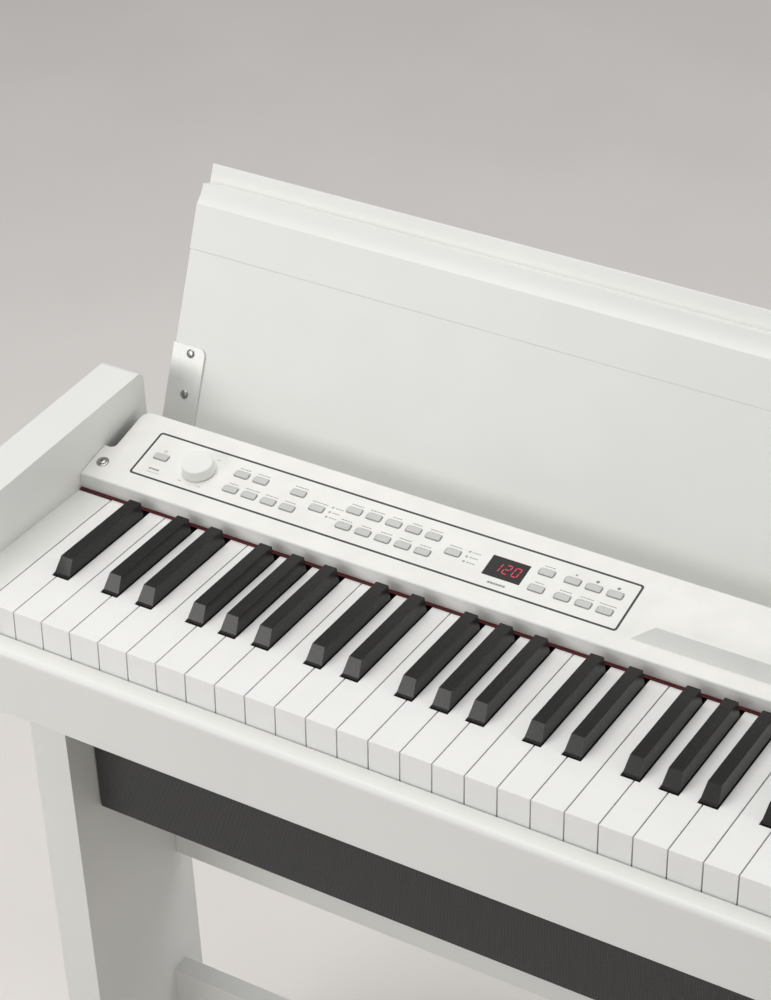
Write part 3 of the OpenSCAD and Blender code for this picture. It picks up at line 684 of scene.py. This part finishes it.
def build_panel():
    """The moulded panel: its plate with every opening and the groove, and the skirt down to the keys."""
    parts = []
    outline = panel_outline_points()
    turns = [math.radians(a) for a in (90, 70, 50, 30, 10, 0)]
    edge = [(PANEL_EDGE * (1 - math.cos(a)), -PANEL_EDGE * (1 - math.sin(a))) for a in turns]
    parts.append(wall(outline, edge + [(0.0, -PANEL_T)], plate_point))

    openings = button_openings() + round_openings()
    parts += [tube(loops) for loops in openings]
    window = window_opening()
    parts.append(tube(window, close_high=True))
    outer, inner = outline_loops()
    parts.append(tube([(outer, 0), (outer, -INLAY_DEPTH), (inner, -INLAY_DEPTH), (inner, 0)]))

    top_holes = [loops[0][0] for loops in openings + [window]]
    bottom_holes = [loops[-1][0] for loops in openings]
    parts.append(fill(inset(outline, PANEL_EDGE), [outer], 0, plate_point))
    parts.append(fill(inner, top_holes, 0, on_panel))
    parts.append(fill(outline, bottom_holes, -PANEL_T, plate_point))
    parts.append(loft([[at_keys(x, *p) for p in skirt_profile()] for x in (SIDE_IN, RIGHT_IN)]))
    add_piece("panel_top", mesh_from("panel_top", *join(parts)), MATERIALS["panel_plastic"], "cabinet",
              ["control_panel"], "panel_plastic")


def build_stop():
    """The raised stop that sheet music stands against, a three-sided ridge with slanted ends."""
    sunk = -0.5
    (front_x, top_x, rear_x), (front, top, rear) = STOP_X, STOP_S
    section = [(front_x, front, 0.0), (top_x, top, STOP_H), (rear_x, rear, 0.0), (rear_x, rear, sunk),
               (front_x, front, sunk)]
    ends = [[on_panel(base + sign * x, s, h) for x, s, h in section] for sign, base in BOTH_ENDS]
    ridge = mesh_from("music_stop", *loft(ends))
    made = add_piece("music_stop", ridge, MATERIALS["panel_plastic"], "cabinet")
    soften(made, 0.7, 4, 20)


def build_window():
    """The smoked pane, flush with the panel and bevelled at its rim."""
    (x0, s0), (x1, s1) = DISPLAY
    mid = ((x0 + x1) / 2, (s0 + s1) / 2)
    levels = [(0.0, -WINDOW_DEPTH), (0.0, -0.25), (0.08, -0.08), (0.25, 0.0)]
    pane = [(shift(ring(x1 - x0 - 2 * by, s1 - s0 - 2 * by, 0.5, 4), *mid), level) for by, level in levels]
    add_piece("window_pane", mesh_from("window_pane", *solid(pane)), MATERIALS["display_glass"], "cabinet",
              ["display_window"], "display_glass")


SEGMENTS = {"0": "abcdef", "1": "bc", "2": "abged"}


def segment_corners(one, two, thick=0.8, gap=0.25):
    """The six corners of one segment between two points, pointed at both ends."""
    one, two = Vector(one), Vector(two)
    along = (two - one).normalized()
    across = Vector((-along.y, along.x)) * thick / 2
    taper = along * thick / 2
    one += along * gap
    two -= along * gap
    return [one, one + taper + across, two - taper + across, two, two - taper - across, one + taper - across]


def build_digits(text="120"):
    """Three slanted seven-segment digits on the window's face."""
    tall, wide, slant, step = 8.2, 4.2, 0.14, 7.3
    left, right, half = -wide / 2, wide / 2, tall / 2
    start = (DISPLAY[0][0] + DISPLAY[1][0]) / 2 - step
    base = (DISPLAY[0][1] + DISPLAY[1][1]) / 2 - half
    ends = {
        "a": ((left, tall), (right, tall)), "g": ((left, half), (right, half)), "d": ((left, 0), (right, 0)),
        "f": ((left, half), (left, tall)), "b": ((right, half), (right, tall)),
        "e": ((left, 0), (left, half)), "c": ((right, 0), (right, half)),
    }
    parts = []
    for n, digit in enumerate(text):
        for name in SEGMENTS[digit]:
            corners = segment_corners(*ends[name])
            loop = [(start + n * step + c.x + c.y * slant, base + c.y) for c in corners]
            parts.append(solid([(loop, -0.05), (loop, PRINT_H)]))
    add_piece("display_digits", mesh_from("display_digits", *join(parts)), LIT, "cabinet", smooth=False)


def build_buttons():
    """Button caps with rounded rims and slightly dished tops, on the flanges that keep them in."""
    w, h, r = BUTTON
    flange = ring(w + 2, h + 2, r)
    flange_levels = (-CAP_DEPTH - FLANGE_H, -CAP_DEPTH)
    rim = [(0.0, -0.3), (0.06, -0.12), (0.2, -0.02), (0.5, 0.0), (1.3, -0.06)]
    levels = [(0.0, -CAP_DEPTH)] + [(by, BUTTON_PROUD + drop) for by, drop in rim]
    cap = [(ring(w - 2 * by, h - 2 * by, max(0.15, r - 0.6 * by)), level) for by, level in levels]
    for name, places in GROUPS.items():
        parts = [solid([(shift(shape, *at), level) for shape, level in cap]) for at in places]
        parts += [solid([(shift(flange, *at), level) for level in flange_levels]) for at in places]
        mesh = mesh_from(name, *join(parts))
        add_piece(name + "_caps", mesh, MATERIALS["button_plastic"], name, [name], "button_plastic")


def lathe(profile, place, steps=64):
    """A turned body: (radius, height) pairs placed about a centre."""
    return loft([[place(x, y, h) for x, y in circle(r, steps)] for r, h in profile])


def dome(r, low, high, angles):
    """The quarter round from a side to the middle of a turned body's top."""
    turns = [math.radians(a) for a in angles]
    return [(r * math.cos(a), low + (high - low) * math.sin(a)) for a in turns]


def build_knob():
    """The volume knob: slightly tapered, rounded at its top edge and dished on top."""
    r, round_r = KNOB_R, 1.3
    rim = KNOB_H - 0.3
    top_r = r - 0.9
    profile = [(r - 0.5, 0.5), (r, 1.0), (top_r, rim - round_r)]
    profile += arc(top_r - round_r, rim - round_r, round_r, 15, 90, 5)
    profile += [(r * 0.55, rim - 0.1), (r * 0.25, rim - 0.2), (0.3, rim - 0.22)]
    body = lathe(profile, lambda x, s, h: on_panel(KNOB_AT[0] + x, KNOB_AT[1] + s, h), 96)
    add_piece("knob_cap", mesh_from("knob_cap", *body), MATERIALS["knob_plastic"], "knob",
              ["volume_knob"], "knob_plastic")


def build_leds():
    """Domed lenses of the indicator lamps."""
    profile = [(LED_R, -2.0), (LED_R, -0.05), (LED_R * 0.85, 0.1), (LED_R * 0.5, 0.18), (0.1, 0.2)]
    parts = [lathe(profile, lambda x, s, h, at=at: on_panel(at[0] + x, at[1] + s, h), 20) for at in LEDS]
    add_piece("led_domes", mesh_from("led_domes", *join(parts)), MATERIALS["led_plastic"], "cabinet",
              ["led_lenses"], "led_plastic")


LABEL_GAP = 2.7
SYMBOL_R = 1.3
TICK_R = 16.6


def printed(loop):
    """A shape printed on the panel."""
    return solid([(loop, 0.0), (loop, PRINT_H)])


def dashes(rng, x, s, total, tall=0.7):
    """A row of dashes of random widths in place of words, centred at x."""
    made = []
    start, end = x - total / 2, x + total / 2
    while start < end - 0.8:
        w = min(rng.uniform(0.8, 2.2), end - start)
        made.append(printed(rect_points((start, s), (start + w, s + tall))))
        start += w + 0.3
    return made


def button_gap_shade(x, s):
    """A thin dark band round a button's opening: painted shade of the gap round the button."""
    w, h, r = BUTTON
    outer, inner = [shift(ring(w + by, h + by, r + by / 2, 5), x, s) for by in GAP_SHADE_GROWTH]
    return band(outer, inner, 0.0, PRINT_H)


def build_marks():
    """A thin band of painted gap shade round each button, plain dashes for labels, dial ticks, and generic
    symbols.
    """
    rng = random.Random(7)
    above = BUTTON[1] / 2 + LABEL_GAP
    parts = []
    for name, places in GROUPS.items():
        for x, s in places:
            # painted shade: a dark band on the panel where the gap round the button lies in shadow
            parts.append(button_gap_shade(x, s))
            if name == "power_button":
                outer, inner = [shift(circle(r, 24), x, s + above + 1) for r in (1.2, 0.8)]
                parts.append(band(outer, inner, 0.0, PRINT_H))
            elif name == "transport_buttons" and s == ROW_HIGH:
                sides = 3 if x == places[0][0] else 24
                parts.append(printed(shift(circle(SYMBOL_R, sides), x, s + above + 0.8)))
            else:
                parts += dashes(rng, x, s + above, rng.uniform(7.0, 13.0))
    for x, s in LEDS:
        parts += dashes(rng, x + 5.4, s - 0.3, 6.4)
    parts += dashes(rng, 21.0, 23.4, 9.5, 1.5)
    parts += dashes(rng, 21.5, 20.6, 10.5, 0.45)
    parts += dashes(rng, (DISPLAY[0][0] + DISPLAY[1][0]) / 2, DISPLAY[0][1] - 6.2, 14.0, 1.7)
    for angle in (-150, 30, 150):
        a = math.radians(90 - angle)
        x, s = KNOB_AT[0] + TICK_R * math.cos(a), KNOB_AT[1] + TICK_R * math.sin(a)
        parts += dashes(rng, x, s - 0.3, 3.2, 0.5)
    add_piece("panel_marks", mesh_from("panel_marks", *join(parts)), LABEL_AND_GAP_SHADE_INK, "cabinet", smooth=False)


# --- screws and small metal ------------------------------------------------


CROSS_TURN = 0.5


def in_metres(x, y, z):
    """A point given in millimetres."""
    return Vector((x, y, z)) * MM


def linked(name, body):
    """A helper object in the scene, made from vertices and faces."""
    made = bpy.data.objects.new(name, mesh_from(name, *body))
    bpy.context.scene.collection.objects.link(made)
    return made


def screw_mesh(head_r, head_h, crown, shank_r, length):
    """A pan-head screw with a cross recess, pointing down its own Z axis; its head's foot is at 0."""
    side_h, top = head_h * 0.45, head_h + crown
    profile = [(0.05, -length), (shank_r, -length), (shank_r, 0), (head_r, 0), (head_r, side_h)]
    profile += dome(head_r, side_h, top, (20, 40, 60, 75, 88))
    made = linked("screw", lathe(profile, in_metres, 40))
    cutters = []
    for turn in (CROSS_TURN, CROSS_TURN + math.pi / 2):
        spin = Matrix.Rotation(turn, 3, "Z")
        loops = []
        for z, half_l, half_w in ((head_h * 0.2, head_r * 0.28, 0.25), (top + 1, head_r * 0.72, 0.42)):
            corners = rect_points((-half_l, -half_w), (half_l, half_w))
            loops.append([spin @ in_metres(x, y, z) for x, y in corners])
        cutters.append(linked("cutter", loft(loops)))
    for cutter in cutters:
        cut = made.modifiers.new("cut", "BOOLEAN")
        cut.object = cutter
        cut.operation = "DIFFERENCE"
    bpy.context.view_layer.update()
    evaluated = made.evaluated_get(bpy.context.evaluated_depsgraph_get())
    result = bpy.data.meshes.new_from_object(evaluated)
    for other in [made, *cutters]:
        bpy.data.objects.remove(other)
    return result


ALONG_X = Vector((1, 0, 0))


def frame_matrix(origin, x_axis, z_axis):
    """A matrix whose Z is z_axis, with its origin there."""
    z = z_axis.normalized()
    x = (x_axis - z * x_axis.dot(z)).normalized()
    y = z.cross(x)
    turn = Matrix((x, y, z)).transposed().to_4x4()
    return Matrix.Translation(origin) @ turn


def placed_copies(name, mesh, matrices, material, body, nodes, slot):
    """Copies of one mesh at several places, as one piece."""
    whole = bmesh.new()
    for matrix in matrices:
        copy = mesh.copy()
        copy.transform(matrix)
        whole.from_mesh(copy)
        bpy.data.meshes.remove(copy)
    bmesh.ops.recalc_face_normals(whole, faces=whole.faces)
    made = bpy.data.meshes.new(name)
    whole.to_mesh(made)
    whole.free()
    made.materials.clear()
    return add_piece(name, made, material, body, nodes, slot)


def build_panel_screws():
    """The screw and its cup washer at each end of the panel."""
    normal = on_panel(0, 0, 1) - on_panel(0, 0, 0)
    in_cup = 0.6
    under = [(2.1, 0.0), (4.8, 0.0), (4.75, 0.3), (4.3, 0.62)]
    over = [(3.6, 0.82), (3.3, 0.86), (2.6, 0.55), (2.1, 0.4)]
    washer = under + over + under[:1]
    parts, matrices = [], []
    for sign, base in BOTH_ENDS:
        at = (base + sign * SCREW_AT[0], SCREW_AT[1])
        parts.append(tube([(shift(circle(r, 48), *at), h) for r, h in washer]))
        matrices.append(frame_matrix(on_panel(*at, in_cup), ALONG_X, normal))
    steel = MATERIALS["steel"]
    washers = mesh_from("cup_washers", *join(parts))
    add_piece("cup_washers", washers, steel, "cabinet", ["panel_washers"], "steel")
    screw = screw_mesh(head_r=3.0, head_h=0.8, crown=0.5, shank_r=1.9, length=18)
    placed_copies("panel_screw_set", screw, matrices, steel, "cabinet", ["panel_screws"], "steel")


BRACKET_TOP = 87.6
BRACKET_SCREWS = (81.6, 50.1)
BRACKET_SCREW_X = -11.4


def build_brackets():
    """The lid's brackets: a plate on the underside of the lid and a flange down to the hinge pin."""
    left, right, rear, corner, thick = -27.6, 1.0, -18.0, 6.0, 1.5
    flange_t, eye_r = 2.4, 9
    face = LID_UNDER - thick
    outline = [(left, rear), (right, rear)]
    outline += arc(right - corner, BRACKET_TOP - corner, corner, 0, 90, 10)
    outline += [(left, BRACKET_TOP)]
    flange = arc(0, 0, eye_r, 180, 360, 24) + [(eye_r, face), (-eye_r, face)]
    parts, matrices = [], []
    normal = on_lid(0, 0, -1) - on_lid(0, 0, 0)
    for sign, base in BOTH_ENDS:
        parts.append(loft([[on_lid(base + sign * x, a, h) for x, a in outline] for h in (LID_UNDER, face)]))
        sides = (base + sign * left, base + sign * (left + flange_t))
        parts.append(loft([[on_lid(x, a, h) for a, h in flange] for x in sides]))
        for a in BRACKET_SCREWS:
            origin = on_lid(base + sign * BRACKET_SCREW_X, a, face)
            matrices.append(frame_matrix(origin, ALONG_X, normal))
    made = add_piece("bracket_plates", mesh_from("bracket_plates", *join(parts)), MATERIALS["bracket_paint"],
                     "lid", ["lid_brackets"], "bracket_paint")
    soften(made, 0.35, 3, 40)
    screw = screw_mesh(head_r=3.3, head_h=0.9, crown=0.3, shank_r=1.9, length=1.2)
    placed_copies("bracket_screw_set", screw, matrices, MATERIALS["steel"], "lid",
                  ["lid_bracket_screws"], "steel")


def build_glides():
    """Turned foot glides with their shanks, near both ends of both feet."""
    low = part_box("foot_glides")[0].z
    from_end = 26 * MM
    pad = [(0.5, 0.0), (10.5, 0.0), (11.6, 0.8), (12.0, 2.0), (12.0, 5.5), (11.4, 6.5), (8.0, 8.0)]
    shank = [(4.0, 8.0), (4.0, 26.0), (0.5, 26.0)]
    parts = []
    for front, back in (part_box("left_foot"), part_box("right_foot")):
        x = (front.x + back.x) / 2
        for y in (front.y + from_end, back.y - from_end):
            foot = Vector((x, y, low))
            parts.append(lathe(pad + shank, lambda px, py, h, foot=foot: foot + in_metres(px, py, h), 48))
    add_piece("glide_set", mesh_from("glide_set", *join(parts)), MATERIALS["black_plastic"], "cabinet",
              ["foot_glides"], "black_plastic")


# --- CAD nodes that keep their shape ---------------------------------------

EDGE_OF = {
    "left_side_panel": 1.3, "right_side_panel": 1.3, "left_foot": 1.2, "right_foot": 1.2, "cheek_blocks": 0.5,
    "back_panel": 0.5, "cross_rail": 1.0, "pedal_box": 1.5, "left_pedal": 1.6, "middle_pedal": 1.6,
    "right_pedal": 1.6, "jack_box": 0.8, "speaker_box": 0.5, "speaker_grille": 0.8, "keybed": 0.4,
    "key_felt": 0.3, "pedal_adjuster": 0.6, "assembly_bolts": 0.3,
}
# rounding width in millimetres, segments, and the least angle that counts as an edge
WHITE_KEY_EDGE = (0.45, 3, 40)
BLACK_KEY_EDGE = (0.8, 3, 25)


def dress_nodes():
    """Gives every node of the frame its material, and rounds the edges of those that keep their shape."""
    for name, node in frame["nodes"].items():
        material = MATERIALS[SLOT_OF[name]]
        for held in node.material_slots:
            held.material = material
        if name.startswith("keys_"):
            soften(node, *(BLACK_KEY_EDGE if name.endswith("sharp") else WHITE_KEY_EDGE))
        elif name in EDGE_OF:
            soften(node, EDGE_OF[name])


# --- studio ----------------------------------------------------------------

CAMERA_AT = (1027.545, -1117.82, 1134.989)
AZIMUTH = math.radians(32.098)
ELEVATION = math.radians(35.456)
ROLL = math.radians(-2.382)
LENS = 98.5


def add_camera():
    """The camera, turned about Z, tipped down and rolled a little."""
    flat = math.cos(ELEVATION)
    look = Vector((-math.sin(AZIMUTH) * flat, math.cos(AZIMUTH) * flat, -math.sin(ELEVATION)))
    level = Vector((math.cos(AZIMUTH), math.sin(AZIMUTH), 0))
    right = level * math.cos(ROLL) + level.cross(look) * math.sin(ROLL)
    up = right.cross(look)
    data = bpy.data.cameras.new("camera")
    data.lens = LENS
    data.sensor_width = 36
    data.clip_start = 0.05
    turn = Matrix((right, up, -look)).transposed().to_4x4()
    made = bpy.data.objects.new("camera", data)
    made.matrix_world = Matrix.Translation(at_keys(*CAMERA_AT)) @ turn
    bpy.context.scene.collection.objects.link(made)
    bpy.context.scene.camera = made


def area_light(name, at, target, size, power, color):
    data = bpy.data.lights.new(name, "AREA")
    data.shape = "RECTANGLE"
    data.size, data.size_y = size
    data.energy = power
    data.color = color
    made = bpy.data.objects.new(name, data)
    made.location = at
    aim = Vector(target) - Vector(at)
    made.rotation_euler = aim.to_track_quat("-Z", "Y").to_euler()
    bpy.context.scene.collection.objects.link(made)


def add_floor():
    """A pale paper floor under the whole object."""
    level, half = cad_box[0][2], 6.0
    corners = [(x, y, level) for x, y in rect_points((-half, -half), (half, half))]
    mesh = mesh_from("floor", corners, [(0, 1, 2, 3)])
    floor = bpy.data.objects.new("floor", mesh)
    surface = Surface("floor_paper", (0.86, 0.82, 0.79), 0.9)
    surface.tint(surface.noise(3, 3), 0.98, 1.02)
    mesh.materials.append(surface.material)
    bpy.context.scene.collection.objects.link(floor)


def add_studio():
    """Soft light: a dim surround, a large light overhead, one at the front left and a fill from the right."""
    world = bpy.data.worlds.new("studio")
    world.use_nodes = True
    world.node_tree.nodes["Background"].inputs["Color"].default_value = (0.96, 0.98, 1.0, 1)
    world.node_tree.nodes["Background"].inputs["Strength"].default_value = 0.36
    bpy.context.scene.world = world
    area_light("overhead", at=(-0.8, 0.0, 3.0), target=(0, 0.1, 0.7), size=(2.6, 2.0), power=38,
               color=(1.0, 0.985, 0.96))
    area_light("front_left", at=(-1.5, -1.75, 1.4), target=(-0.4, 0, 0.72), size=(1.2, 0.8), power=15,
               color=(1.0, 0.99, 0.97))
    area_light("right_fill", at=(2.1, 0.25, 1.2), target=(-0.6, 0.1, 0.75), size=(1.2, 1.0), power=17,
               color=(1.0, 0.98, 0.95))
    bpy.context.scene.view_settings.view_transform = "Standard"


add_camera()
build_key_slip()
build_lid()
build_panel()
build_outline()
build_stop()
build_window()
build_digits()
build_buttons()
build_knob()
build_leds()
build_marks()
build_panel_screws()
build_brackets()
build_glides()
dress_nodes()
add_floor()
add_studio()
